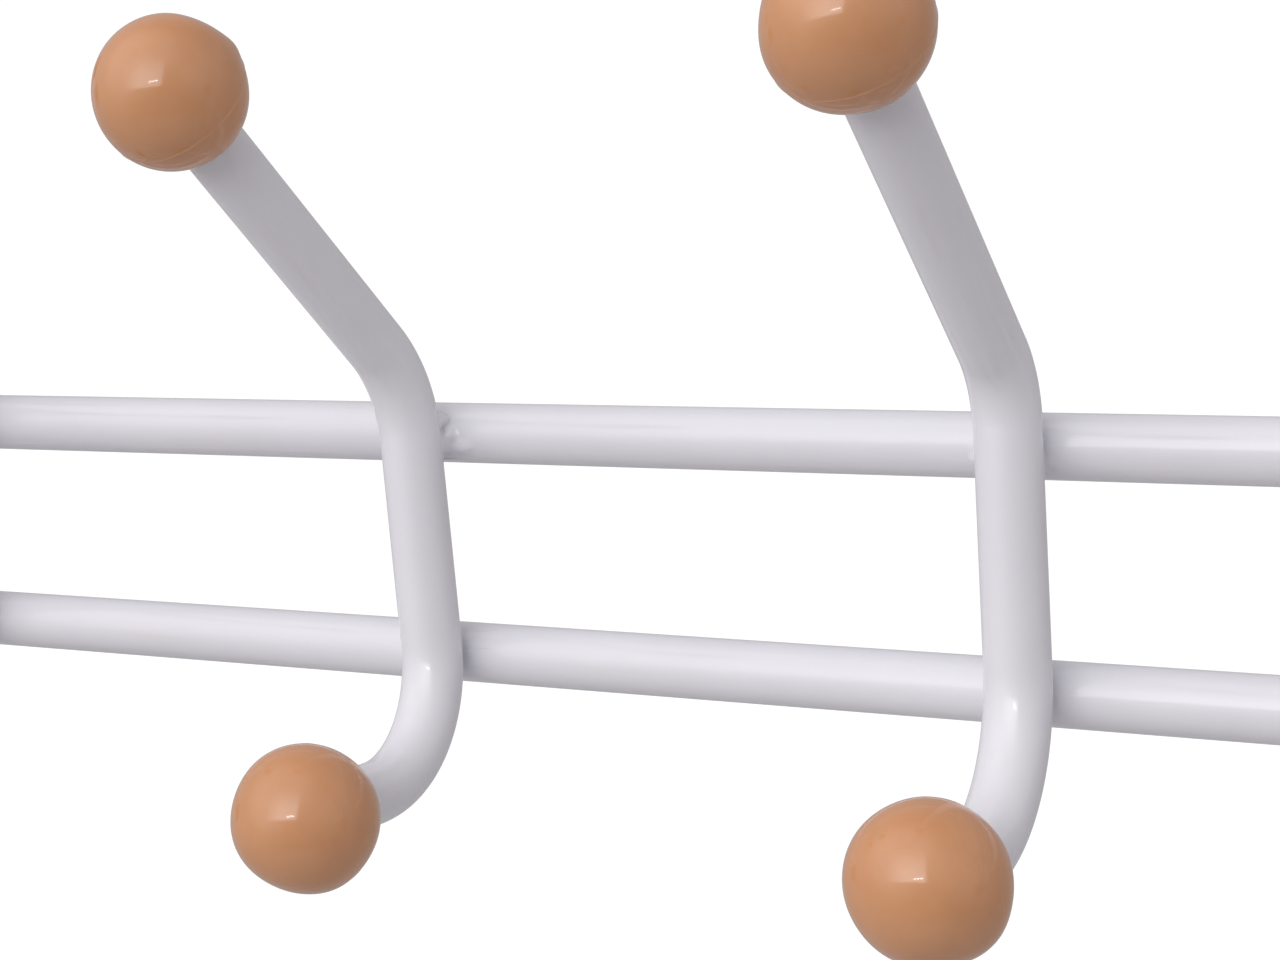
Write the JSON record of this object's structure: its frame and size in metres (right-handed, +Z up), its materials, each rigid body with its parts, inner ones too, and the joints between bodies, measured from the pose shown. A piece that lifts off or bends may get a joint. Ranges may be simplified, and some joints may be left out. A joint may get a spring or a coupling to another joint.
{
  "type": "standing coat rack",
  "caption": "Free-standing coat rack of white tube: two posts on floor bows, paired rails at head height with double hooks ending in tan balls, and paired brace rails near the floor.",
  "frame": {"origin": "on the floor, midway between the two posts", "axes": "+Z up, +X along the rails towards the right post, -Y the side the hooks reach out to"},
  "size_m": [0.7298, 0.407, 1.699],
  "materials": {
    "white_powder_coat": "satin-gloss powder coat",
    "tan_ball_plastic": "satin moulded plastic",
    "cap_plastic": "matt moulded plastic",
    "plated_steel": "zinc plated"
  },
  "bodies": {
    "root": {"upper_hook_rail": "white_powder_coat", "lower_hook_rail": "white_powder_coat", "upper_brace_rail": "white_powder_coat", "lower_brace_rail": "white_powder_coat", "hook_1": "white_powder_coat", "hook_2": "white_powder_coat", "hook_3": "white_powder_coat", "hook_4": "white_powder_coat", "hook_5": "white_powder_coat", "upper_ball_1": "tan_ball_plastic", "lower_ball_1": "tan_ball_plastic", "upper_ball_2": "tan_ball_plastic", "lower_ball_2": "tan_ball_plastic", "upper_ball_3": "tan_ball_plastic", "lower_ball_3": "tan_ball_plastic", "upper_ball_4": "tan_ball_plastic", "lower_ball_4": "tan_ball_plastic", "upper_ball_5": "tan_ball_plastic", "lower_ball_5": "tan_ball_plastic", "post_lower_left": "white_powder_coat", "post_upper_left": "white_powder_coat", "floor_bow_left": "white_powder_coat", "post_collar_left": "white_powder_coat", "post_finial_left": "tan_ball_plastic", "floor_cap_front_left": "cap_plastic", "floor_cap_back_left": "cap_plastic", "post_sleeve_left": "plated_steel", "sleeve_screw_left": "plated_steel", "collar_screw_left": "plated_steel", "upper_hook_rail_plug_left": "plated_steel", "upper_hook_rail_bolt_left": "plated_steel", "lower_hook_rail_plug_left": "plated_steel", "lower_hook_rail_bolt_left": "plated_steel", "upper_brace_rail_plug_left": "plated_steel", "upper_brace_rail_bolt_left": "plated_steel", "lower_brace_rail_plug_left": "plated_steel", "lower_brace_rail_bolt_left": "plated_steel", "post_lower_right": "white_powder_coat", "post_upper_right": "white_powder_coat", "floor_bow_right": "white_powder_coat", "post_collar_right": "white_powder_coat", "post_finial_right": "tan_ball_plastic", "floor_cap_front_right": "cap_plastic", "floor_cap_back_right": "cap_plastic", "post_sleeve_right": "plated_steel", "sleeve_screw_right": "plated_steel", "collar_screw_right": "plated_steel", "upper_hook_rail_plug_right": "plated_steel", "upper_hook_rail_bolt_right": "plated_steel", "lower_hook_rail_plug_right": "plated_steel", "lower_hook_rail_bolt_right": "plated_steel", "upper_brace_rail_plug_right": "plated_steel", "upper_brace_rail_bolt_right": "plated_steel", "lower_brace_rail_plug_right": "plated_steel", "lower_brace_rail_bolt_right": "plated_steel"}
  },
  "joints": []
}
